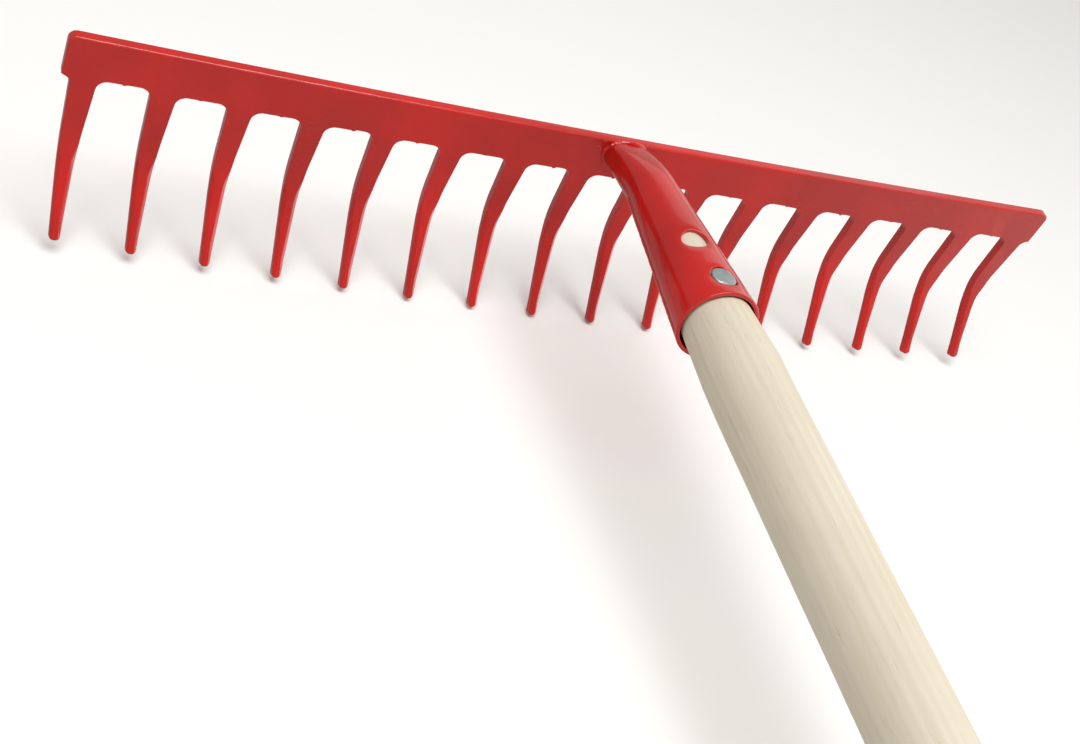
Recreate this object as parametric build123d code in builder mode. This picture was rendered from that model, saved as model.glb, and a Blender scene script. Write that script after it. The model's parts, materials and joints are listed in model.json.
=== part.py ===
from build123d import *
from math import acos, atan2, cos, hypot, radians, sin
import os

# A hand rake: sixteen tines and their bar punched from one steel plate, a tapered
# steel socket welded to the bar, and a round wooden handle nailed into the socket.
# The rake rests tines down, on its tine tips and on the free end of the handle.
# X runs along the bar, the handle runs towards -Y, and Z is up.

# --- plate, mm and degrees ---
tine_count = 16
tine_pitch = 27.0
plate_thickness = 4.0
bar_overhang = 7.6  # from the outer tine's centre line to the end of the bar
bar_depth_end = 15.6  # top edge to gap top at the ends of the bar
top_edge_dip = 2.2  # the head bows a little: its edges lie lower at the middle by these
gap_line_dip = 4.6
tip_line_dip = 5.8
end_corner_radius = 3.0
notch_depth = 16.0  # top edge to the small step below each end of the bar
notch_radius = 1.5
gap_corner_radius = 3.8
root_width = 9.2
tip_width = 3.7
tip_round = 0.44  # tip corner radius as a share of the tip width
straight_depth = 38.4  # top edge to where the tines start to bend
bend_radius = 35.7
bend_angle = 31.5
lower_length = 22.8  # straight part below the bend, on the outer tines

# --- socket ---
axis_depth = 3.6  # line between the bar's top corners to where the handle axis meets its face
axis_rise = 6.1  # angle between the handle axis and the bar's normal
socket_length = 104.0
mouth_radius = 15.0
wall = 1.5
nose_half_width = 8.5
nose_half_height = 5.5
nose_drop = 4.4  # nose centre below the handle axis
nose_length = 30.0  # where the flattened nose has become round
nose_end_radius = 9.7
nose_flare = 1.6  # how soon the nose rounds out, a power
rim_round = 0.4
hole_radius = 5.2
spare_hole_inset = 32.5  # hole centre to the mouth
nail_hole_inset = 10.4
spare_hole_turn = 12.0  # the spare hole sits a little to one side of the top line

# --- welds ---
nose_bead = 2.4
nose_bead_edge = 0.6  # how far it still stands out at its top
seam_half_width = 1.5
seam_turn = 115.0  # round the socket from its top line, towards -X
seam_height = 0.5
seam_end_gap = 1.6  # from the seam weld's end to the mouth

# --- handle and nail ---
handle_radius = 14.0
handle_length = 1300.0
handle_end_round = 9.0
wedge_start = 34.0  # where the wood ends inside the socket
wedge_length = 26.0  # stretch where the wood is tight in the socket
mouth_gap = 0.8
nail_head_radius = 4.6
nail_head_thickness = 1.6
nail_head_round = 0.4
nail_head_gap = 0.4  # between the nail head's top and the socket's outer surface
nail_shank_radius = 1.9
nail_length = 20.0
nail_clearance = 0.3

# --- values that follow ---
bar_half_width = tine_pitch * (tine_count - 1) / 2 + bar_overhang
bend = radians(bend_angle)
bend_length = bend_radius * bend
full_depth = straight_depth + bend_length + lower_length
cone_slope = (mouth_radius - nose_end_radius) / (socket_length - nose_length)


def outer_radius(distance):
    return nose_end_radius + cone_slope * (distance - nose_length)


def tine_half_width(depth):
    taper = (depth - bar_depth_end) / (full_depth - bar_depth_end)
    return (root_width + (tip_width - root_width) * taper) / 2


def dip_at(dip, x):
    return dip * (1 - (x / bar_half_width) ** 2)


def projected_depth(depth):
    # depth along the plate, measured along the bent tine, to depth below the top edge
    angle = min(max((depth - straight_depth) / bend_radius, 0), bend)
    beyond = max(depth - straight_depth - bend_length, 0)
    return min(depth, straight_depth) + bend_radius * sin(angle) + beyond * cos(bend)


# --- how the rake lies ---
# u is up in the plane of the bar and n is the bar's normal, towards the handle.
# The back corner of a middle tine's tip and the rounded end of the handle rest on the floor.
nearest_tine = tine_pitch / 2 * (1 - tine_count % 2)
middle_reach = lower_length + dip_at(tip_line_dip, nearest_tine)
tip_u = -straight_depth - (bend_radius + plate_thickness) * sin(bend) - middle_reach * cos(bend)
tip_n = bend_radius - (bend_radius + plate_thickness) * cos(bend) + middle_reach * sin(bend)
rise = radians(axis_rise)
butt_distance = wedge_start + handle_length
round_reach = butt_distance - handle_end_round
round_offset = handle_radius - handle_end_round
butt_u = -axis_depth + round_reach * sin(rise) - round_offset * cos(rise)
butt_n = round_reach * cos(rise) + round_offset * sin(rise)
butt_top_u = butt_u + 2 * round_offset * cos(rise)
butt_top_n = butt_n - 2 * round_offset * sin(rise)
span = hypot(tip_u - butt_u, tip_n - butt_n)
lean = atan2(butt_n - tip_n, tip_u - butt_u) - acos(-handle_end_round / span)


def height(u, n):
    return u * cos(lean) - n * sin(lean)


def reach(u, n):
    return -u * sin(lean) - n * cos(lean)


floor_height = height(tip_u, tip_n)
back_reach = reach(-straight_depth, bend_radius) + bend_radius + plate_thickness
front_reach = reach(butt_top_u, butt_top_n) - handle_end_round
top_origin = (0, -(back_reach + front_reach) / 2, -floor_height)

# plane of the bar's front face, its local y up and its local z towards the handle
face_plane = Plane(origin=top_origin, x_dir=(1, 0, 0), z_dir=(0, -cos(lean), -sin(lean)))
# end view of the plate, local x towards the handle and local y up
side_plane = Plane(origin=top_origin, x_dir=face_plane.z_dir, z_dir=(-1, 0, 0))
# plane of the tines' lower front face, local y up along the tine and origin at the bend's end
bend_end = side_plane.from_local_coords(
    (bend_radius * (1 - cos(bend)), -straight_depth - bend_radius * sin(bend))
)
lower_up = side_plane.from_local_coords((-sin(bend), cos(bend))) - Vector(top_origin)
lower_plane = Plane(origin=bend_end, x_dir=(1, 0, 0), z_dir=Vector(1, 0, 0).cross(lower_up))
# socket and handle axis, local z towards the free end and local y up
axis_origin = side_plane.from_local_coords((0, -axis_depth))
axis_dir = side_plane.from_local_coords((cos(rise), sin(rise))) - Vector(top_origin)
axis_plane = Plane(origin=axis_origin, x_dir=(1, 0, 0), z_dir=axis_dir)
handle_axis = Axis(axis_origin, axis_dir)
# half section through the axis, local x along the axis and local y up
turn_plane = Plane(origin=axis_origin, x_dir=axis_dir, z_dir=(-1, 0, 0))

# --- bar and tines ---
with BuildPart() as tine_plate:
    with BuildSketch(side_plane):
        with BuildLine():
            front_top = Line((-plate_thickness, 0), (0, 0))
            front = Line(front_top @ 1, (0, -straight_depth))
            front_bend = JernArc(front @ 1, (0, -1), bend_radius, bend_angle)
            front_lower = Line(
                front_bend @ 1, front_bend @ 1 + (front_bend % 1) * (lower_length + tip_line_dip)
            )
            back = Line(front_top @ 0, (-plate_thickness, -straight_depth))
            back_bend = JernArc(back @ 1, (0, -1), bend_radius + plate_thickness, bend_angle)
            back_lower = Line(
                back_bend @ 1, back_bend @ 1 + (back_bend % 1) * (lower_length + tip_line_dip)
            )
            Line(front_lower @ 1, back_lower @ 1)
        make_face()
    extrude(amount=bar_half_width, both=True)

    # top edge, a shallow arc with rounded ends
    with BuildSketch(face_plane) as above_bar:
        with BuildLine():
            ThreePointArc((-bar_half_width, 0), (0, -top_edge_dip), (bar_half_width, 0))
            Polyline(
                (bar_half_width, 0),
                (bar_half_width, bar_overhang),
                (-bar_half_width, bar_overhang),
                (-bar_half_width, 0),
            )
        make_face()
    extrude(amount=plate_thickness * 2, both=True, mode=Mode.SUBTRACT)
    top_corners = tine_plate.edges().filter_by(Axis(top_origin, face_plane.z_dir))
    fillet(top_corners, end_corner_radius)

    # gaps between the tines, cut square to the bar's face
    cut_depth = full_depth + tip_line_dip + plate_thickness
    levels = [straight_depth, straight_depth + bend_length / 2, full_depth, cut_depth]
    with BuildSketch(face_plane):
        for gap in range(tine_count - 1):
            middle = (gap - tine_count / 2 + 1) * tine_pitch
            top = bar_depth_end + dip_at(gap_line_dip, middle)
            half_gaps = [
                (tine_pitch / 2 - tine_half_width(depth), -projected_depth(depth))
                for depth in [top] + levels
            ]
            right = [(middle + x, u) for x, u in half_gaps]
            left = [(middle - x, u) for x, u in reversed(half_gaps)]
            with BuildLine():
                Polyline(*right, *left, close=True)
            face = make_face(mode=Mode.PRIVATE)
            corners = face.vertices().sort_by(Axis.Y)[-2:]
            add(face.face().fillet_2d(gap_corner_radius, corners))
    extrude(amount=bar_half_width, both=True, mode=Mode.SUBTRACT)

    # ends of the bar, with the small step above the outer tines
    outer_tine = bar_half_width - bar_overhang
    notch_levels = [notch_depth] + levels
    for side in (-1, 1):
        with BuildSketch(face_plane) as end_cut:
            outline = [
                (side * (outer_tine + tine_half_width(depth)), -projected_depth(depth))
                for depth in notch_levels
            ]
            far = side * (bar_half_width + bar_overhang)
            with BuildLine():
                Polyline(*outline, (far, outline[-1][1]), (far, -notch_depth), close=True)
            make_face()
            inner_corner = end_cut.vertices().sort_by_distance((*outline[0], 0))[0]
            fillet(inner_corner, notch_radius)
        extrude(amount=bar_half_width, both=True, mode=Mode.SUBTRACT)

    # rounded tips, on a line that reaches a little lower at the middle
    with BuildSketch(lower_plane):
        with Locations((0, -lower_length)):
            Rectangle(2 * bar_half_width + tine_pitch, 2 * (tip_line_dip + tip_width))
        for tine in range(tine_count):
            x = (tine - (tine_count - 1) / 2) * tine_pitch
            tip = -lower_length - dip_at(tip_line_dip, x)
            with Locations((x, tip + tine_pitch / 2)):
                RectangleRounded(
                    tip_width, tine_pitch, tip_width * tip_round, mode=Mode.SUBTRACT
                )
    extrude(amount=plate_thickness * 2, both=True, mode=Mode.SUBTRACT)
tine_plate.part.label = "tine_plate"

# --- socket: a flattened nose that becomes a round cone ---
nose_plane = Plane(axis_origin, (1, 0, 0), face_plane.z_dir)
nose_levels = [0, nose_length / 3, nose_length * 2 / 3, nose_length]


def nose_sections(inset):
    # cross-sections of the nose from the bar's face on, inset from the outer surface
    for distance in nose_levels:
        flat = max(0, 1 - distance / nose_length) ** nose_flare
        half_width = outer_radius(distance) + (nose_half_width - outer_radius(0)) * flat - inset
        half_height = outer_radius(distance) + (nose_half_height - outer_radius(0)) * flat - inset
        plane = axis_plane.offset(distance)
        if distance == 0:
            plane = nose_plane
        yield plane, (0, -nose_drop * flat), half_width, half_height


# the socket's outer shape and the space inside it
shapes = []
for inset in (0, wall):
    with BuildPart() as shape:
        for plane, centre, half_width, half_height in nose_sections(inset):
            with BuildSketch(plane):
                with Locations(centre):
                    Ellipse(half_width, half_height)
        loft()
        with BuildSketch(turn_plane):
            with BuildLine():
                Polyline(
                    (nose_length, 0),
                    (nose_length, nose_end_radius - inset),
                    (socket_length, mouth_radius - inset),
                    (socket_length, 0),
                    close=True,
                )
            make_face()
        revolve(axis=handle_axis)
    shapes.append(shape.part)
socket_body, socket_bore = shapes

with BuildPart() as socket:
    add(socket_body)
    mouth_edge = socket.edges().filter_by(GeomType.CIRCLE).sort_by(handle_axis)[-1]
    fillet(mouth_edge, rim_round)
    add(socket_bore, mode=Mode.SUBTRACT)
    for inset, turn in ((spare_hole_inset, spare_hole_turn), (nail_hole_inset, 0)):
        hole_middle = axis_plane.offset(socket_length - inset).origin
        hole_dir = axis_plane.y_dir.rotate(handle_axis, turn)
        with BuildSketch(Plane(hole_middle, axis_dir, hole_dir)):
            Circle(hole_radius)
        extrude(amount=mouth_radius * 2, mode=Mode.SUBTRACT)
socket.part.label = "socket"

# --- weld bead round the nose, on the bar's face ---
with BuildPart() as nose_weld:
    for lift, spread in ((0, nose_bead), (nose_bead, nose_bead_edge)):
        with BuildSketch(nose_plane.offset(lift)):
            with Locations((0, -nose_drop)):
                Ellipse(nose_half_width + spread, nose_half_height + spread)
    loft(ruled=True)
    add(socket_body, mode=Mode.SUBTRACT)
    extrude(above_bar.sketch, amount=nose_bead * 2, both=True, mode=Mode.SUBTRACT)
nose_weld.part.label = "nose_weld"

# --- weld along the socket's side, closing the rolled sheet ---
seam_end = socket_length - seam_end_gap
with BuildPart() as seam_weld:
    for distance in (nose_length, seam_end):
        turned = radians(seam_turn)
        middle = (-outer_radius(distance) * sin(turned), outer_radius(distance) * cos(turned))
        with BuildSketch(axis_plane.offset(distance)):
            with Locations(middle):
                Ellipse(seam_half_width, seam_height, rotation=seam_turn)
    loft(ruled=True)
    add(socket_body, mode=Mode.SUBTRACT)
seam_weld.part.label = "seam_weld"

# --- handle: tight at its inner end, with a thin gap round it at the mouth ---
wedge_end = wedge_start + wedge_length
wood_at_mouth = mouth_radius - wall - mouth_gap
wood_slope = (wood_at_mouth - outer_radius(wedge_end) + wall) / (socket_length - wedge_end)
full_distance = socket_length + (handle_radius - wood_at_mouth) / wood_slope
nail_distance = socket_length - nail_hole_inset
nail_top = outer_radius(nail_distance) - nail_head_gap
nail_seat = nail_top - nail_head_thickness
nail_plane = Plane(axis_plane.offset(nail_distance).origin, (1, 0, 0), axis_plane.y_dir)
nail_axis = Axis(nail_plane.origin, nail_plane.z_dir)

with BuildPart() as handle:
    with BuildSketch(turn_plane):
        with BuildLine():
            Polyline(
                (round_reach, 0),
                (wedge_start, 0),
                (wedge_start, outer_radius(wedge_start) - wall),
                (wedge_end, outer_radius(wedge_end) - wall),
                (full_distance, handle_radius),
                (round_reach, handle_radius),
            )
            RadiusArc((round_reach, handle_radius), (butt_distance, round_offset), handle_end_round)
            Polyline((butt_distance, round_offset), (butt_distance, 0), (round_reach, 0))
        make_face()
    revolve(axis=handle_axis)
    # the nail's hole, with a flat spot under its head
    with BuildSketch(nail_plane.offset(nail_top - nail_length)):
        Circle(nail_shank_radius)
    extrude(amount=nail_length, mode=Mode.SUBTRACT)
    with BuildSketch(nail_plane.offset(nail_seat)):
        Circle(nail_head_radius + nail_clearance)
    extrude(amount=handle_radius, mode=Mode.SUBTRACT)
handle.part.label = "handle"

# --- nail ---
with BuildPart() as fixing_nail:
    with BuildSketch(nail_plane.offset(nail_seat)):
        Circle(nail_head_radius)
    extrude(amount=nail_head_thickness)
    head_rim = fixing_nail.edges().filter_by(GeomType.CIRCLE).sort_by(nail_axis)[-1]
    fillet(head_rim, nail_head_round)
    with BuildSketch(nail_plane.offset(nail_seat)):
        Circle(nail_shank_radius)
    extrude(amount=nail_head_thickness - nail_length)
fixing_nail.part.label = "fixing_nail"

os.makedirs("parts", exist_ok=True)
for piece in (tine_plate, socket, nose_weld, seam_weld, handle, fixing_nail):
    export_step(piece.part, f"parts/{piece.part.label}.step")
    print(piece.part.label, piece.part.bounding_box())
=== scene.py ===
import json
import math
import random

import bmesh
import bpy
from mathutils import Matrix, Vector, noise


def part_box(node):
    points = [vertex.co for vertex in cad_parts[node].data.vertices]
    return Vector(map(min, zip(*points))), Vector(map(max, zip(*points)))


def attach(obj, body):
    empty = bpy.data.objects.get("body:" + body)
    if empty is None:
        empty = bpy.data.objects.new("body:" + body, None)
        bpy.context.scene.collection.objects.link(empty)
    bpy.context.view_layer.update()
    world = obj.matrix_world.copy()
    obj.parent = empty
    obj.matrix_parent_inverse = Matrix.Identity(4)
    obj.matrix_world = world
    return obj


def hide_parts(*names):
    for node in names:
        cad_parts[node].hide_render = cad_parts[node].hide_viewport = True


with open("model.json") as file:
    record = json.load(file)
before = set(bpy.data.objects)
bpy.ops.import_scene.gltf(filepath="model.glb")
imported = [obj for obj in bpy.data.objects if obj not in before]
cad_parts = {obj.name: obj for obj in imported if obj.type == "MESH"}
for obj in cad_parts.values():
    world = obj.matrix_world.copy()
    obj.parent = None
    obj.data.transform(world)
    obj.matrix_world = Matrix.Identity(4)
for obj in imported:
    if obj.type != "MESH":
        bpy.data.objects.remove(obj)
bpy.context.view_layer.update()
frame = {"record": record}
random.seed(16)
mm = 0.001

# sizes of the steel head in mm and degrees, the plate first and the socket's axis last
head = {
    "tines": 16,
    "pitch": 27.0,
    "thickness": 4.0,
    "overhang": 7.6,
    "barDepth": 15.6,
    "topDip": 2.2,
    "gapDip": 4.6,
    "tipDip": 5.8,
    "rootWidth": 9.2,
    "tipWidth": 3.7,
    "straight": 38.4,
    "bendRadius": 35.7,
    "bendAngle": 31.5,
    "lower": 22.8,
    "axisDepth": 3.6,
    "axisRise": 6.1,
}
halfBar = head["pitch"] * (head["tines"] - 1) / 2 + head["overhang"]
outerTine = halfBar - head["overhang"]
bend = math.radians(head["bendAngle"])
bendLength = head["bendRadius"] * bend
fullDepth = head["straight"] + bendLength + head["lower"]


def bowed(dip, x):  # how far an edge of the bowed head lies lower at x
    return dip * (1 - (x / halfBar) ** 2)


def bentPoint(x, depth, offset):  # a point of the flat plate after the bend, offset 0 at its front
    angle = min(max((depth - head["straight"]) / head["bendRadius"], 0), bend)
    beyond = max(depth - head["straight"] - bendLength, 0)
    radius = head["bendRadius"] - offset
    up = -min(depth, head["straight"]) - radius * math.sin(angle) - beyond * math.cos(bend)
    out = head["bendRadius"] - radius * math.cos(angle) + beyond * math.sin(bend)
    return Vector((x, up, out))


# the head's own directions, x along the bar, y up its face and z towards the handle
grip = next(m for m in frame["record"]["mounts"] if m["name"] == "handle_grip")
axisDir = Vector(grip["axis"])
rise = math.radians(head["axisRise"])
lean = rise - math.asin(axisDir.z)
plateLow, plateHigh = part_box("tine_plate")
turnIn = Matrix(((1, 0, 0), (0, -math.sin(lean), -math.cos(lean)), (0, math.cos(lean), -math.sin(lean))))
lowestTip = turnIn @ bentPoint(0, fullDepth + bowed(head["tipDip"], head["pitch"] / 2), -head["thickness"])
backOfBend = turnIn @ Vector((0, -head["straight"], head["bendRadius"]))
backReach = backOfBend.y + head["bendRadius"] + head["thickness"]
topLine = Vector((0, plateHigh.y - backReach * mm, plateLow.z - lowestTip.z * mm))
headPlace = Matrix.Translation(topLine) @ turnIn.to_4x4() @ Matrix.Scale(mm, 4)
axisStart = headPlace @ Vector((0, -head["axisDepth"], 0))
axisTurn = Matrix((Vector((1, 0, 0)), axisDir.cross(Vector((1, 0, 0))), axisDir)).transposed()
# x across, y up and z along the handle's axis from the bar's face
axisPlace = Matrix.Translation(axisStart) @ axisTurn.to_4x4() @ Matrix.Scale(mm, 4)


# materials

def srgb(code):  # hex colour to the linear values that a socket takes
    channels = [int(code[i:i + 2], 16) / 255 for i in (1, 3, 5)]
    return [c / 12.92 if c <= 0.04045 else ((c + 0.055) / 1.055) ** 2.4 for c in channels] + [1]


def perMetre(size):  # a noise or wave scale from the size in mm of what it draws
    return 1 / (size * mm)


def newMaterial(name):
    material = bpy.data.materials.new(name)
    material.use_nodes = True
    material.node_tree.nodes.clear()
    return material, material.node_tree


def addNode(tree, kind, values=None, links=None, **settings):
    node = tree.nodes.new(kind)
    for name, value in settings.items():
        setattr(node, name, value)
    for name, value in (values or {}).items():
        node.inputs[name].default_value = value
    for name, socket in (links or {}).items():
        tree.links.new(socket, node.inputs[name])
    return node


def noiseOf(tree, place, size, detail):  # soft noise from 0 to 1, size in mm
    values = {"Scale": perMetre(size), "Detail": detail}
    return addNode(tree, "ShaderNodeTexNoise", values, {"Vector": place}).outputs["Fac"]


def ranged(tree, value, start, stop, toStart, toStop):
    values = {"From Min": start, "From Max": stop, "To Min": toStart, "To Max": toStop}
    return addNode(tree, "ShaderNodeMapRange", values, {"Value": value}).outputs["Result"]


def rampOf(tree, value, ramp):  # where it starts, where it ends and how far it goes
    start, stop, most = ramp
    return ranged(tree, value, start, stop, 0, most)


def mixed(tree, share, first, second):  # each a hex colour or another node's output
    values, links = {}, {0: share}
    for place, colour in ((6, first), (7, second)):
        if isinstance(colour, str):
            values[place] = srgb(colour)
        else:
            links[place] = colour
    return addNode(tree, "ShaderNodeMix", values, links, data_type="RGBA").outputs[2]


def combined(tree, operation, first, second):
    links = {0: first, 1: second}
    return addNode(tree, "ShaderNodeMath", None, links, operation=operation, use_clamp=True).outputs[0]


def stretched(tree, place, scale):
    return addNode(tree, "ShaderNodeMapping", {"Scale": scale}, {"Vector": place}).outputs["Vector"]


def bumped(tree, height, strength, depth, under=None):  # depth in mm
    links = {"Height": height}
    if under is not None:
        links["Normal"] = under
    values = {"Strength": strength, "Distance": depth * mm}
    return addNode(tree, "ShaderNodeBump", values, links).outputs["Normal"]


def addShader(tree, values, links):
    shader = addNode(tree, "ShaderNodeBsdfPrincipled", values, links)
    addNode(tree, "ShaderNodeOutputMaterial", links={"Surface": shader.outputs["BSDF"]})


# sizes in mm; a bump is its strength and depth, rough its least and most, and threes are ramps
enamel = {
    "colour": "#C2130C",
    "thick": "#AC0E08",
    # lighter red painted on the sharp edges as a highlight
    "edge": "#CC3426",
    "speck": "#E07A6A",
    "cloud": 38.0,
    "clouds": (0.35, 0.65, 1),
    # the ramp that gives sharp edges the painted highlight colour
    "edges": (0.52, 0.6, 0.55),
    "dust": 0.7,
    "specks": (0.74, 0.8, 0.12),
    "rough": (0.2, 0.32),
    "sway": 16.0,
    "swayBump": (0.25, 0.6),
    "peel": 1.6,
    "peelBump": (0.12, 0.1),
    "shader": {"IOR": 1.48, "Coat Weight": 0.6, "Coat Roughness": 0.05, "Coat IOR": 1.5},
}


def makeEnamel():
    # gloss enamel, dipped over bare steel: deep red, soft wide reflections over a plate that
    # isn't quite flat, a faint orange peel, and a painted highlight of lighter red along the sharp edges
    s = enamel
    material, tree = newMaterial("glossRedEnamel")
    place = addNode(tree, "ShaderNodeTexCoord").outputs["Object"]
    cloud = noiseOf(tree, place, s["cloud"], 3)
    film = mixed(tree, rampOf(tree, cloud, s["clouds"]), s["colour"], s["thick"])
    pointed = addNode(tree, "ShaderNodeNewGeometry").outputs["Pointiness"]
    # painted highlight: the sharp convex edges turn a lighter red
    edgeHighlighted = mixed(tree, rampOf(tree, pointed, s["edges"]), film, s["edge"])
    dust = noiseOf(tree, place, s["dust"], 1)
    colour = mixed(tree, rampOf(tree, dust, s["specks"]), edgeHighlighted, s["speck"])
    sway = bumped(tree, noiseOf(tree, place, s["sway"], 2), *s["swayBump"])
    peel = bumped(tree, noiseOf(tree, place, s["peel"], 1), *s["peelBump"], sway)
    rough = ranged(tree, cloud, 0, 1, *s["rough"])
    addShader(tree, s["shader"], {"Base Color": colour, "Roughness": rough, "Normal": peel})
    return material


wood = {
    "pale": "#D3CBBA",
    "dark": "#C2B79F",
    "fleck": "#A8946C",
    "ring": 3.4,
    "ringPlace": (0.021, 0, -0.062),
    "ringStretch": (1, 0.035, 1),
    "ringWave": {"Distortion": 2.2, "Detail": 2, "Detail Scale": 0.6},
    "ringShare": 0.2,
    "streak": 1.3,
    "streakLong": 60.0,
    "streaks": (0.3, 0.75, 0.36),
    "fibre": 0.45,
    "fibreLong": 14.0,
    "pores": (0.66, 0.78, 0.55),
    "cloud": 45.0,
    "clouds": (0.35, 0.7, 0.35),
    "rough": (0.55, 0.75),
    "grainBump": (0.35, 0.12),
    "shader": {"IOR": 1.45, "Specular IOR Level": 0.35},
}


def makeWood():
    # plain lime wood, turned and sanded but not oiled: cream, matt, soft wide bands from the
    # growth rings, fine lengthwise fibres, and a few short brown pores
    s = wood
    material, tree = newMaterial("turnedLimeWood")
    place = addNode(tree, "ShaderNodeTexCoord").outputs["Object"]
    tilt = math.asin(-axisDir.z)
    along = addNode(
        tree, "ShaderNodeMapping", {"Rotation": (-tilt, 0, 0)}, {"Vector": place}
    ).outputs["Vector"]
    offset = addNode(
        tree, "ShaderNodeMapping",
        {"Location": s["ringPlace"], "Scale": s["ringStretch"]}, {"Vector": along},
    ).outputs["Vector"]
    rings = addNode(
        tree, "ShaderNodeTexWave",
        {"Scale": math.pi / 10 * perMetre(s["ring"]), **s["ringWave"]},
        {"Vector": offset}, wave_type="RINGS", rings_direction="Y",
    ).outputs["Fac"]
    streakWays = stretched(tree, along, (1, s["streak"] / s["streakLong"], 1))
    streaks = noiseOf(tree, streakWays, s["streak"], 3)
    fibreWays = stretched(tree, along, (1, s["fibre"] / s["fibreLong"], 1))
    fibres = noiseOf(tree, fibreWays, s["fibre"], 2)
    clouds = noiseOf(tree, place, s["cloud"], 2)
    ringShare = ranged(tree, rings, 0, 1, 0, s["ringShare"])
    share = combined(tree, "ADD", ringShare, rampOf(tree, streaks, s["streaks"]))
    share = combined(tree, "ADD", share, rampOf(tree, clouds, s["clouds"]))
    body = mixed(tree, share, s["pale"], s["dark"])
    colour = mixed(tree, rampOf(tree, fibres, s["pores"]), body, s["fleck"])
    rough = ranged(tree, streaks, 0, 1, *s["rough"])
    grain = bumped(tree, fibres, *s["grainBump"])
    addShader(tree, s["shader"], {"Base Color": colour, "Roughness": rough, "Normal": grain})
    return material


zinc = {
    "pale": "#B4BEBE",
    "dark": "#7F8A8B",
    "patch": 2.2,
    "scratch": 0.35,
    "scratchStretch": (0.15, 1, 1),
    "rough": (0.35, 0.6),
    "dentBump": (0.4, 0.1),
    "shader": {"Metallic": 0.85},
}


def makeZinc():
    # hot galvanised steel, struck with a hammer: blue grey, half dull, with paler patches
    # where the zinc froze and fine scratches that catch the light
    s = zinc
    material, tree = newMaterial("galvanisedSteel")
    place = addNode(tree, "ShaderNodeTexCoord").outputs["Object"]
    patches = addNode(tree, "ShaderNodeTexVoronoi", {"Scale": perMetre(s["patch"])}, {"Vector": place})
    soft = noiseOf(tree, place, s["patch"], 3)
    share = combined(tree, "MULTIPLY", patches.outputs["Distance"], soft)
    colour = mixed(tree, share, s["pale"], s["dark"])
    scratches = noiseOf(tree, stretched(tree, place, s["scratchStretch"]), s["scratch"], 1)
    rough = ranged(tree, soft, 0, 1, *s["rough"])
    dents = bumped(tree, scratches, *s["dentBump"])
    addShader(tree, s["shader"], {"Base Color": colour, "Roughness": rough, "Normal": dents})
    return material


redEnamel = makeEnamel()
plainWood = makeWood()
zincSteel = makeZinc()
print("materials made")


# pieces

def finishPiece(name, bm, place, material, node):  # mm mesh to a riding piece in metres
    bmesh.ops.transform(bm, matrix=place, verts=bm.verts)
    mesh = bpy.data.meshes.new(name)
    bm.to_mesh(mesh)
    bm.free()
    mesh.materials.append(material)
    mesh.shade_smooth()
    piece = bpy.data.objects.new(name, mesh)
    bpy.context.scene.collection.objects.link(piece)
    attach(piece, "root")
    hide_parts(node)
    print(name, "made,", len(mesh.vertices), "points")
    return piece


def addModifier(piece, kind, **settings):
    modifier = piece.modifiers.new(kind.title(), kind)
    for name, value in settings.items():
        setattr(modifier, name, value)
    return modifier


def smoothShare(value, low, high):
    share = min(max((value - low) / (high - low), 0), 1)
    return share * share * (3 - 2 * share)


def wander(x, y, z, size):  # smooth noise between about -1 and 1
    return noise.noise(Vector((x, y, z)) / size)


# in mm; the rounds are a radius and its number of segments
plate = {
    "topSteps": 105,
    "tipUneven": 0.25,
    "endRound": (3.0, 5),
    "stepDepth": 16.0,
    "stepSlope": 1.6,
    "stepRound": (1.5, 3),
    "gapRound": (3.8, 6),
    "tipRound": (1.55, 5),
    "nibHeight": 0.55,
    "nibSpread": (0.3, 1.2),
    "nibPlace": (0.45, 0.6),
    "nibShoulders": (0.9, 0.3, -0.3, -1.3),
    "nibFoot": 0.4,
    "gapJump": 0.35,
    "rows": (27, 32, 36),
    "bendRows": 12,
    "lowerRows": 8,
    "lowerStep": 3.3,
    "cutAside": 0.05,
    "cutDust": 0.001,
    "merge": 0.12,
    "ringGap": 0.1,
    "cornerReach": 1.3,
    "sharpEdge": 0.22,
    "topEdge": 0.5,
    "lowEdge": 1.35,
    "tipEdge": 0.75,
    "backEdge": 0.4,
    "leastEdge": 0.22,
    "edgeBreak": 0.09,
    "breakShare": 0.7,
    "topWave": 8.0,
    "softFrom": 0.3,
    "softOver": 0.45,
    "tipFrom": 8.0,
    "tipTo": 1.0,
    "tipDrift": 0.3,
}


def halfTine(depth):
    taper = (depth - head["barDepth"]) / (fullDepth - head["barDepth"])
    return (head["rootWidth"] + (head["tipWidth"] - head["rootWidth"]) * taper) / 2


def roundCorners(bm, corners, radius, segments):
    bmesh.ops.bevel(
        bm, geom=corners, offset=radius, segments=segments, profile=0.5, affect="VERTICES", material=-1
    )


def edgeWidth(x, depth):  # width of the chamfer along an edge, in mm
    s = plate
    if depth < head["barDepth"] / 2:
        return s["topEdge"] * (1 + wander(x, 0, 0, s["topWave"]) / 2)
    start = head["straight"] + bendLength * s["softFrom"]
    soft = smoothShare(depth, start, start + bendLength * s["softOver"])
    tip = fullDepth + bowed(head["tipDip"], x)
    nearTip = smoothShare(depth, tip - s["tipFrom"], tip - s["tipTo"])
    wide = s["lowEdge"] + (s["tipEdge"] - s["lowEdge"]) * nearTip
    return s["sharpEdge"] + (wide - s["sharpEdge"]) * soft


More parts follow.
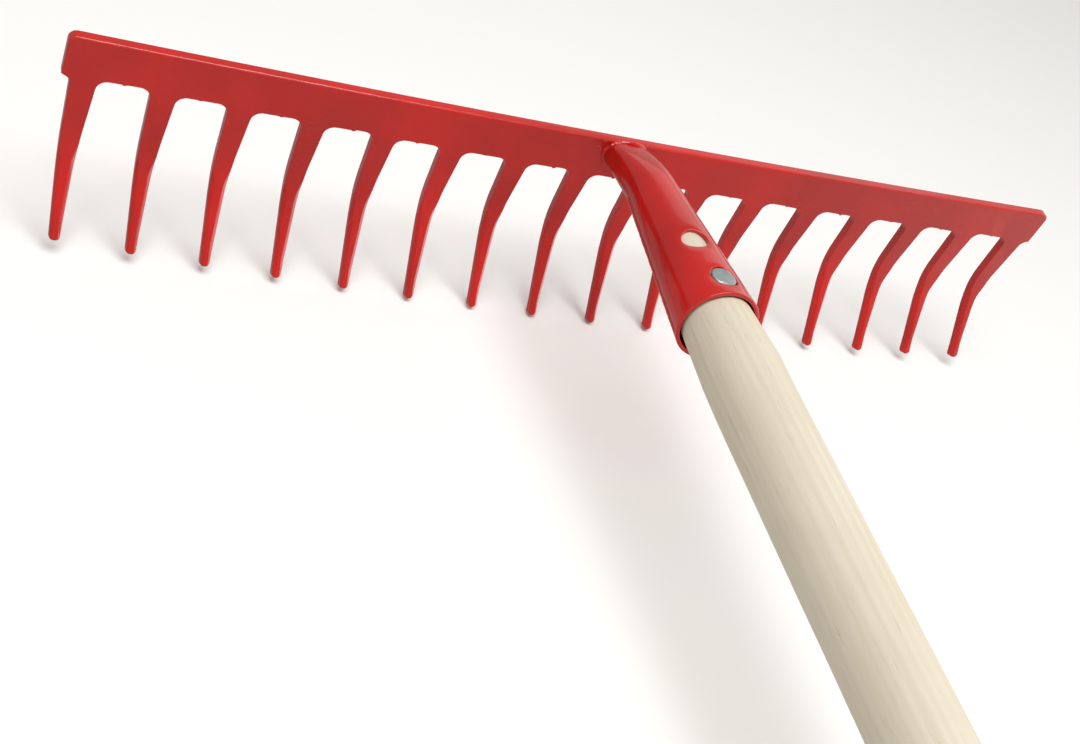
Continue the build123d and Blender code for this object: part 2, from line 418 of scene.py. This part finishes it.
def drawBlank(bm):  # the flat blank, its outline from the left end of the top edge
    s = plate

    def point(x, depth):
        return bm.verts.new((x, -depth, 0))

    step = 2 * halfBar / s["topSteps"]
    top = [-halfBar + step * i for i in range(s["topSteps"] + 1)]
    outline = [point(x, bowed(head["topDip"], x)) for x in top]
    ends = [outline[0], outline[-1]]
    gaps, tips, steps = [], [], []
    shoulders = s["nibShoulders"]
    innerStep = s["stepDepth"] + s["stepSlope"]
    outline += [point(halfBar, s["stepDepth"]), point(outerTine + halfTine(innerStep), innerStep)]
    steps.append(outline[-1])
    for tine in reversed(range(head["tines"])):
        middle = (tine - (head["tines"] - 1) / 2) * head["pitch"]
        tip = fullDepth + bowed(head["tipDip"], middle) - random.uniform(0, s["tipUneven"])
        tips += [point(middle + halfTine(tip), tip), point(middle - halfTine(tip), tip)]
        outline += tips[-2:]
        if tine == 0:
            break
        gapMiddle = middle - head["pitch"] / 2
        depth = head["barDepth"] + bowed(head["gapDip"], gapMiddle)
        jump = random.uniform(-s["gapJump"], s["gapJump"])
        half = head["pitch"] / 2 - halfTine(depth)
        nibX = gapMiddle + half * (random.uniform(*s["nibPlace"]) * 2 - 1)
        nib = s["nibHeight"] * random.uniform(*s["nibSpread"])
        right = point(gapMiddle + half, depth + jump)
        left = point(gapMiddle - half, depth)
        gaps += [right, left]
        outline += [
            right,
            point(nibX + shoulders[0], depth + jump),
            point(nibX + shoulders[1], depth + nib * s["nibFoot"]),
            point(nibX + shoulders[2], depth + nib),
            point(nibX + shoulders[3], depth),
            left,
        ]
    outline += [point(-outerTine - halfTine(innerStep), innerStep), point(-halfBar, s["stepDepth"])]
    steps.append(outline[-2])
    bm.faces.new(outline)
    roundCorners(bm, ends, *s["endRound"])
    roundCorners(bm, gaps, *s["gapRound"])
    roundCorners(bm, tips, *s["tipRound"])
    roundCorners(bm, steps, *s["stepRound"])


def cutBlank(bm):  # cuts between the tines, and across them where they bend
    s = plate

    def cut(x, depth, across):
        everything = bm.verts[:] + bm.edges[:] + bm.faces[:]
        bmesh.ops.bisect_plane(
            bm, geom=everything, dist=s["cutDust"], plane_co=(x, -depth, 0), plane_no=across
        )

    for gap in range(1, head["tines"]):
        cut((gap - head["tines"] / 2) * head["pitch"] + s["cutAside"], 0, (1, 0, 0))
    rows = list(s["rows"])
    rows += [head["straight"] + bendLength * i / s["bendRows"] for i in range(s["bendRows"] + 1)]
    rows += [rows[-1] + s["lowerStep"] * (i + 1) for i in range(s["lowerRows"])]
    for depth in rows:
        cut(0, depth, (0, 1, 0))


def thickenBlank(bm):
    # three rings along the outline, then the thickness, then the rings pulled into chamfered edges
    s = plate
    bmesh.ops.remove_doubles(bm, verts=bm.verts, dist=s["merge"])
    inside = bm.faces[:]
    for _ in range(3):
        bmesh.ops.inset_region(
            bm, faces=inside, thickness=s["ringGap"], use_boundary=True, use_even_offset=True
        )
    order = bm.verts.layers.int.new("order")
    rings = [[v for v in bm.verts if v.is_boundary]]
    seen = set(rings[0])
    inward = {}
    for _ in range(3):
        ring = []
        for v in rings[-1]:
            nearer = [e.other_vert(v) for e in v.link_edges if e.other_vert(v) not in seen]
            inward[v] = nearer[0]
            ring.append(nearer[0])
        seen.update(ring)
        rings.append(ring)
    edges = []
    for v in rings[0]:
        chain = [v, inward[v], inward[inward[v]], inward[inward[inward[v]]]]
        for place, member in enumerate(chain):
            member[order] = len(edges) * 4 + place + 1
        inner = (chain[3].co - v.co) / (3 * s["ringGap"])
        edges.append((v.co.copy(), inner.normalized() * min(inner.length, s["cornerReach"])))
    bmesh.ops.recalc_face_normals(bm, faces=bm.faces)
    bmesh.ops.solidify(bm, geom=bm.faces[:], thickness=head["thickness"])
    bmesh.ops.recalc_face_normals(bm, faces=bm.faces)
    front = max(v.co.z for v in bm.verts)
    bmesh.ops.translate(bm, vec=(0, 0, -front), verts=bm.verts)
    crisp = s["edgeBreak"]
    part = s["breakShare"] * crisp
    for v in bm.verts:
        if v[order] == 0:
            continue
        number, place = divmod(v[order] - 1, 4)
        corner, inner = edges[number]
        isFront = v.co.z > -head["thickness"] / 2
        width = max(edgeWidth(corner.x, -corner.y) * (1 if isFront else s["backEdge"]), s["leastEdge"])
        across = (0, part, width - part, width + crisp)[place]
        down = (width + crisp, width - part, part, 0)[place]
        v.co.x = corner.x + inner.x * across
        v.co.y = corner.y + inner.y * across
        v.co.z = -down if isFront else down - head["thickness"]


def bendTines(bm):  # each tine drifts a little to one side
    drift = [random.uniform(-1, 1) * plate["tipDrift"] for _ in range(head["tines"])]
    for v in bm.verts:
        depth = -v.co.y
        tine = round(v.co.x / head["pitch"] + (head["tines"] - 1) / 2)
        tine = min(max(tine, 0), head["tines"] - 1)
        x = v.co.x + drift[tine] * smoothShare(depth, head["straight"] / 2, fullDepth)
        v.co = bentPoint(x, depth, v.co.z)


def makePlate():
    bm = bmesh.new()
    drawBlank(bm)
    cutBlank(bm)
    thickenBlank(bm)
    bendTines(bm)
    piece = finishPiece("tinePlate", bm, headPlace, redEnamel, "tine_plate")
    addModifier(piece, "WEIGHTED_NORMAL", mode="FACE_AREA", weight=70)


makePlate()

socket = {
    "length": 104.0,
    "mouthRadius": 15.0,
    "wall": 1.5,
    "noseHalfWidth": 8.5,
    "noseHalfHeight": 5.5,
    "noseDrop": 4.4,
    "noseLength": 30.0,
    "noseEndRadius": 9.7,
    "noseFlare": 1.6,
    "noseSquare": 1.5,
    "holeRadius": 5.2,
    "holes": ((71.5, 12.0), (93.6, 0.0)),
    "holePatch": 6.6,
    "rimReach": 1.3,
    "holeRings": (1 / 3, 1 / 2, 1),
    "sheetRadius": 13.0,
    "holeDish": 0.3,
    "dishReach": 1.4,
    "uneven": 0.08,
    "unevenRadius": 12,
    "unevenSize": 11.0,
    "unevenFrom": 8.0,
    "seamTurn": 115.0,
    "columns": 120,
    "rows": 92,
    "edge": 0.3,
}
coneSlope = (socket["mouthRadius"] - socket["noseEndRadius"]) / (socket["length"] - socket["noseLength"])


def coneRadius(distance):
    return socket["noseEndRadius"] + coneSlope * (distance - socket["noseLength"])


def socketPoint(turn, distance, sink=0.0):  # turn in radians from the top line towards -x
    s = socket
    flat = max(0, 1 - distance / s["noseLength"]) ** s["noseFlare"]
    halfWidth = coneRadius(distance) + (s["noseHalfWidth"] - coneRadius(0)) * flat - sink
    halfHeight = coneRadius(distance) + (s["noseHalfHeight"] - coneRadius(0)) * flat - sink
    power = 2 / (2 + s["noseSquare"] * flat)
    across, up = -math.sin(turn), math.cos(turn)
    x = math.copysign(abs(across) ** power, across) * halfWidth
    y = math.copysign(abs(up) ** power, up) * halfHeight - s["noseDrop"] * flat
    tilt = rise * flat
    return Vector((x, y * math.cos(tilt), distance + y * math.sin(tilt)))


def cutHole(bm, distance, turn):  # in the flat sheet, x runs round the socket and y along it
    s = socket
    widen = s["sheetRadius"] / coneRadius(distance)
    across = turn * s["sheetRadius"]

    def reach(item):
        return max(abs(item.x - across) / widen, abs(item.y - distance))

    patch = [f for f in bm.faces if reach(f.calc_center_median()) < s["holePatch"]]
    bmesh.ops.delete(bm, geom=patch, context="FACES")
    rim = []
    for edge in bm.edges:
        middle = (edge.verts[0].co + edge.verts[1].co) / 2
        if edge.is_boundary and reach(middle) < s["holePatch"] * s["rimReach"]:
            rim.append(edge)
    face = bmesh.ops.contextual_create(bm, geom=rim)["faces"][0]
    for share in s["holeRings"]:  # rings that step from the square gap to the round hole
        bmesh.ops.inset_individual(bm, faces=[face], thickness=0.01)
        for v in face.verts:
            x, y = (v.co.x - across) / widen, v.co.y - distance
            factor = 1 + (s["holeRadius"] / math.hypot(x, y) - 1) * share
            v.co.x, v.co.y = across + x * factor * widen, distance + y * factor
    bmesh.ops.delete(bm, geom=[face], context="FACES_ONLY")


def makeSocket():
    s = socket
    bm = bmesh.new()
    seam = math.radians(s["seamTurn"])
    bmesh.ops.create_grid(bm, x_segments=s["columns"], y_segments=s["rows"], size=1)
    for v in bm.verts:
        turn = seam - math.pi + v.co.x * math.pi
        v.co = Vector((turn * s["sheetRadius"], (v.co.y + 1) / 2 * s["length"], 0))
    holes = [(distance, math.radians(turn)) for distance, turn in s["holes"]]
    for distance, turn in holes:
        cutHole(bm, distance, turn)
    # the sheet is rolled up, dished a little round its punched holes
    for v in bm.verts:
        turn, distance = v.co.x / s["sheetRadius"], v.co.y
        dish = 0
        for holeDistance, holeTurn in holes:
            reach = math.hypot((turn - holeTurn) * coneRadius(holeDistance), distance - holeDistance)
            dish += s["holeDish"] * math.exp(-((reach - s["holeRadius"]) / s["dishReach"]) ** 2)
        x, y = math.cos(turn) * s["unevenRadius"], math.sin(turn) * s["unevenRadius"]
        uneven = s["uneven"] * (1 + wander(x, y, distance, s["unevenSize"]))
        fade = smoothShare(distance, 0, s["unevenFrom"])
        v.co = socketPoint(turn, distance, (dish + uneven) * fade)
    bmesh.ops.remove_doubles(bm, verts=bm.verts, dist=0.01)
    bmesh.ops.recalc_face_normals(bm, faces=bm.faces)
    bm.faces.ensure_lookup_table()
    sample = bm.faces[0]
    middle = sample.calc_center_median()
    if sample.normal.dot(Vector((middle.x, middle.y + s["noseDrop"], 0))) < 0:
        bmesh.ops.reverse_faces(bm, faces=bm.faces)
    piece = finishPiece("rolledSocket", bm, axisPlace, redEnamel, "socket")
    addModifier(piece, "SOLIDIFY", thickness=s["wall"] * mm, offset=-1, use_even_offset=True)
    addModifier(
        piece, "BEVEL", limit_method="ANGLE", angle_limit=math.radians(50), width=s["edge"] * mm,
        segments=2, use_clamp_overlap=False,
    )
    addModifier(piece, "WEIGHTED_NORMAL", mode="FACE_AREA", weight=60)


makeSocket()


def remeshed(bm, place, voxel, smoothing):  # welds overlapping lumps into one skin
    bmesh.ops.transform(bm, matrix=place, verts=bm.verts)
    mesh = bpy.data.meshes.new("lumps")
    bm.to_mesh(mesh)
    bm.free()
    lumps = bpy.data.objects.new("lumps", mesh)
    bpy.context.scene.collection.objects.link(lumps)
    addModifier(lumps, "REMESH", mode="VOXEL", voxel_size=voxel * mm)
    addModifier(lumps, "SMOOTH", factor=0.5, iterations=smoothing)
    bpy.context.view_layer.update()
    skin = bpy.data.meshes.new_from_object(lumps.evaluated_get(bpy.context.evaluated_depsgraph_get()))
    bpy.data.objects.remove(lumps)
    bpy.data.meshes.remove(mesh)
    welded = bmesh.new()
    welded.from_mesh(skin)
    bpy.data.meshes.remove(skin)
    bmesh.ops.transform(welded, matrix=place.inverted(), verts=welded.verts)
    return welded


def addLump(bm, middle, radii, turn=0.0, detail=2):
    place = Matrix.Translation(middle) @ Matrix.Rotation(turn, 4, "Z") @ Matrix.Diagonal((*radii, 1))
    bmesh.ops.create_icosphere(bm, subdivisions=detail, radius=1, matrix=place)


noseWeld = {
    "lumps": 110,
    "stand": 0.35,
    "size": 1.3,
    "blobs": 9,
    "blobSize": 1.25,
    "blobTurn": 138.0,
    "blobSpread": 20.0,
    "blobOut": (0.2, 1.5),
    "blobUp": (0.2, 0.9),
    "blobRange": (0.7, 1.15),
    "wave": 0.16,
    "waveSize": 1.4,
    "waveRadius": 3,
    "squash": 0.9,
    "spatter": 9,
    "spatterTurn": 14.0,
    "spatterOut": (2.6, 5.5),
    "spatterSize": (0.22, 0.45),
    "spatterStand": 0.02,
    "spatterSquash": 0.7,
    "topLimit": -3.0,
    "voxel": 0.28,
    "smoothing": 3,
}


def makeNoseWeld():
    # a smooth fillet most of the way round, and where the torch stopped, a heap of glossy blobs
    s = noseWeld
    bm = bmesh.new()
    drop = head["axisDepth"] + socket["noseDrop"]

    def around(turn, out):  # a point on the bar's face, out mm beyond the nose
        x = (socket["noseHalfWidth"] + out) * math.cos(turn)
        return x, (socket["noseHalfHeight"] + out) * math.sin(turn) - drop

    for lump in range(s["lumps"]):
        turn = 2 * math.pi * lump / s["lumps"]
        x, y = math.cos(turn) * s["waveRadius"], math.sin(turn) * s["waveRadius"]
        size = s["size"] * (1 + s["wave"] * wander(x, y, 0, s["waveSize"]))
        addLump(bm, (*around(turn, s["stand"]), 0), (size, size, size * s["squash"]), turn)
    for _ in range(s["blobs"]):
        turn = math.radians(random.gauss(s["blobTurn"], s["blobSpread"]))
        size = s["blobSize"] * random.uniform(*s["blobRange"])
        middle = (*around(turn, random.uniform(*s["blobOut"])), random.uniform(*s["blobUp"]))
        addLump(bm, middle, (size, size, size), turn)
    welded = remeshed(bm, headPlace, s["voxel"], s["smoothing"])
    for _ in range(s["spatter"]):
        turn = math.radians(random.gauss(s["blobTurn"] + s["spatterTurn"], s["blobSpread"]))
        x, y = around(turn, random.uniform(*s["spatterOut"]))
        size = random.uniform(*s["spatterSize"])
        middle = (x, min(y, s["topLimit"]), s["spatterStand"])
        addLump(welded, middle, (size, size, size * s["spatterSquash"]))
    finishPiece("noseWeld", welded, headPlace, redEnamel, "nose_weld")


makeNoseWeld()

seamWeld = {
    "step": 1.25,
    "halfWidth": 1.25,
    "height": 0.42,
    "sizes": (0.85, 1.1),
    "stray": 0.012,
    "sink": 0.1,
    "lengthShare": 0.95,
    "voxel": 0.25,
    "smoothing": 2,
    "endGap": 1.6,
}


def makeSeamWeld():
    s = seamWeld
    bm = bmesh.new()
    distance = socket["noseLength"]
    turn = math.radians(socket["seamTurn"])
    while distance < socket["length"] - s["endGap"]:
        size = random.uniform(*s["sizes"])
        middle = socketPoint(turn + random.uniform(-s["stray"], s["stray"]), distance, s["sink"])
        radii = (s["halfWidth"] * size, s["height"] * size, s["step"] * s["lengthShare"])
        addLump(bm, middle, radii, turn)
        distance += s["step"]
    welded = remeshed(bm, axisPlace, s["voxel"], s["smoothing"])
    finishPiece("seamWeld", welded, axisPlace, redEnamel, "seam_weld")


makeSeamWeld()


def turned(profile, steps):  # a body turned about z, from pairs of radius and z
    bm = bmesh.new()
    line = [bm.verts.new((x, 0, z)) for x, z in profile]
    edges = [bm.edges.new(pair) for pair in zip(line, line[1:])]
    bmesh.ops.spin(
        bm, geom=line + edges, cent=(0, 0, 0), axis=(0, 0, 1), angle=2 * math.pi, steps=steps,
        use_merge=True,
    )
    bmesh.ops.remove_doubles(bm, verts=bm.verts, dist=0.001)
    return bm


shaft = {
    "radius": 14.0,
    "length": 1300.0,
    "endRound": 9.0,
    "wedgeStart": 34.0,
    "wedgeLength": 26.0,
    "mouthGap": 0.8,
    "rowStep": 11.0,
    "steps": 96,
    "sanded": 0.1,
    "play": 0.15,
    "endSteps": 7,
    "uneven": 0.1,
    "unevenSize": 9.0,
    "unevenLong": 6,
    "lift": 0.4,
    "liftGone": (110.0, 150.0),
}


def makeShaft():
    s = shaft
    wedgeEnd = s["wedgeStart"] + s["wedgeLength"]
    end = s["wedgeStart"] + s["length"]
    atMouth = socket["mouthRadius"] - socket["wall"] - s["mouthGap"]
    inWedge = coneRadius(wedgeEnd) - socket["wall"]
    slope = (atMouth - inWedge) / (socket["length"] - wedgeEnd)
    fullAt = socket["length"] + (s["radius"] - atMouth) / slope
    profile = [
        (0, s["wedgeStart"]),
        (coneRadius(s["wedgeStart"]) - socket["wall"] - s["play"], s["wedgeStart"]),
        (inWedge - s["play"], wedgeEnd),
        (s["radius"] - s["sanded"], fullAt),
    ]
    rows = int((end - s["endRound"] - fullAt) / s["rowStep"])
    for row in range(1, rows + 1):
        profile.append((s["radius"] - s["sanded"], fullAt + (end - s["endRound"] - fullAt) * row / rows))
    for i in range(1, s["endSteps"] + 1):
        turn = math.pi / 2 * i / s["endSteps"]
        across = s["radius"] - s["sanded"] - s["endRound"] * (1 - math.cos(turn))
        profile.append((across, end - s["endRound"] * (1 - math.sin(turn))))
    profile.append((0, end))
    bm = turned(profile, s["steps"])
    # hand sanding leaves it a little out of round, and it sits off centre in the mouth
    for v in bm.verts:
        bump = wander(v.co.x, v.co.y, v.co.z / s["unevenLong"], s["unevenSize"])
        share = s["uneven"] * (bump - 1) / s["radius"]
        v.co.x *= 1 + share
        v.co.y *= 1 + share
        nearMouth = smoothShare(v.co.z, wedgeEnd, socket["length"])
        nearMouth *= 1 - smoothShare(v.co.z, *s["liftGone"])
        v.co += Vector((s["lift"], s["lift"], 0)) * nearMouth
    bmesh.ops.recalc_face_normals(bm, faces=bm.faces)
    piece = finishPiece("woodenHandle", bm, axisPlace, plainWood, "handle")
    addModifier(piece, "WEIGHTED_NORMAL", mode="FACE_AREA")


makeShaft()

nail = {
    "inset": 10.4,
    "headRadius": 4.6,
    "headThickness": 1.6,
    "headGap": 0.4,
    "shankRadius": 1.9,
    "length": 20.0,
    "dome": 0.35,
    "edge": 0.4,
    "pointLength": 4.2,
    "bluntShare": 0.35,
    "bluntLength": 0.4,
    "crown": ((0.6, 0.35), (0.25, 0.05)),
    "steps": 48,
    "dent": 0.22,
    "dentSize": 1.9,
    "bevel": 0.15,
}


def makeNail():
    s = nail
    distance = socket["length"] - s["inset"]
    top = coneRadius(distance) - s["headGap"]
    seat = top - s["headThickness"]
    point = top - s["length"]
    profile = [
        (0, point),
        (s["shankRadius"] * s["bluntShare"], point + s["bluntLength"]),
        (s["shankRadius"], point + s["pointLength"]),
        (s["shankRadius"], seat),
        (s["headRadius"], seat),
        (s["headRadius"], top - s["edge"] - s["dome"]),
        (s["headRadius"] - s["edge"], top - s["dome"]),
        *((s["headRadius"] * out, top - s["dome"] * down) for out, down in s["crown"]),
        (0, top),
    ]
    bm = turned(profile, s["steps"])
    # hammer marks on the head
    for v in bm.verts:
        if v.co.z > seat:
            v.co.z += s["dent"] * min(wander(v.co.x, v.co.y, 3.0, s["dentSize"]), 0)
    bmesh.ops.recalc_face_normals(bm, faces=bm.faces)
    # from its own upright axis to the hole in the socket
    upright = axisPlace @ Matrix.Translation((0, 0, distance)) @ Matrix.Rotation(-math.pi / 2, 4, "X")
    piece = finishPiece("fixingNail", bm, upright, zincSteel, "fixing_nail")
    addModifier(
        piece, "BEVEL", limit_method="ANGLE", angle_limit=math.radians(40), width=s["bevel"] * mm, segments=2
    )
    addModifier(piece, "WEIGHTED_NORMAL", mode="FACE_AREA")


makeNail()


# stage, light and camera

stage = {
    "size": 16.0,
    "colour": "#ECECEA",
    "mottle": 500.0,
    "rough": (0.8, 0.9),
    "walls": "#FFFBF7",
    "dim": 0.3,
    "dimTo": 0.45,
    "bright": 1.6,
}


def makeStage():
    s = stage
    bm = bmesh.new()
    bmesh.ops.create_grid(bm, x_segments=1, y_segments=1, size=s["size"] / 2)
    mesh = bpy.data.meshes.new("studioFloor")
    bm.to_mesh(mesh)
    bm.free()
    material, tree = newMaterial("paleFloor")
    place = addNode(tree, "ShaderNodeTexCoord").outputs["Object"]
    rough = ranged(tree, noiseOf(tree, place, s["mottle"], 2), 0, 1, *s["rough"])
    addShader(tree, {"Base Color": srgb(s["colour"]), "Specular IOR Level": 0.1}, {"Roughness": rough})
    mesh.materials.append(material)
    floor = bpy.data.objects.new("studioFloor", mesh)
    bpy.context.scene.collection.objects.link(floor)
    # not mirrored in the enamel, as white there would wash its red out
    floor.visible_glossy = False
    world = bpy.data.worlds.new("studio")
    bpy.context.scene.world = world
    world.use_nodes = True
    # walls that are bright far to the right and dim elsewhere, with a soft change between
    tree = world.node_tree
    tree.nodes.clear()
    direction = addNode(tree, "ShaderNodeTexCoord").outputs["Generated"]
    parts = addNode(tree, "ShaderNodeSeparateXYZ", links={"Vector": direction})
    strength = addNode(
        tree, "ShaderNodeMapRange",
        {"From Min": s["dimTo"], "From Max": 1, "To Min": s["dim"], "To Max": s["bright"]},
        {"Value": parts.outputs["X"]}, interpolation_type="SMOOTHSTEP",
    )
    walls = addNode(
        tree, "ShaderNodeBackground", {"Color": srgb(s["walls"])}, {"Strength": strength.outputs["Result"]}
    )
    addNode(tree, "ShaderNodeOutputWorld", links={"Surface": walls.outputs["Background"]})


# softboxes in metres: place, what they face, width, height, and the watts
lights = {
    "overhead": ((-0.1, 0.1, 1.5), (0, 0.5, 0), 1.4, 1.0, 27),
    "behind": ((0.45, 1.7, 0.75), (0, 0.6, 0.08), 1.2, 0.5, 0.9),
}


def aimAt(item, place, target):
    item.location = place
    item.rotation_euler = (Vector(target) - Vector(place)).to_track_quat("-Z", "Y").to_euler()


def makeLights():
    for name, (place, target, width, height, watts) in lights.items():
        lamp = bpy.data.lights.new(name, "AREA")
        lamp.shape = "RECTANGLE"
        lamp.size, lamp.size_y = width, height
        lamp.energy = watts
        item = bpy.data.objects.new(name, lamp)
        bpy.context.scene.collection.objects.link(item)
        aimAt(item, place, target)


view = {
    "place": (-0.2725, 0.1916, 0.3343),
    "target": (-0.0074, 0.64, -0.0161),
    "roll": 24.45,
    "lens": 51.17,
}


def makeCamera():
    s = view
    lens = bpy.data.cameras.new("viewer")
    lens.lens = s["lens"]
    lens.sensor_width = 36
    lens.clip_start = 0.01
    camera = bpy.data.objects.new("viewer", lens)
    bpy.context.scene.collection.objects.link(camera)
    aimAt(camera, s["place"], s["target"])
    bpy.context.view_layer.update()
    camera.matrix_world = camera.matrix_world @ Matrix.Rotation(math.radians(s["roll"]), 4, "Z")
    bpy.context.scene.camera = camera


makeStage()
makeLights()
makeCamera()
bpy.context.scene.view_settings.view_transform = "Standard"
print("stage, lights and camera made")
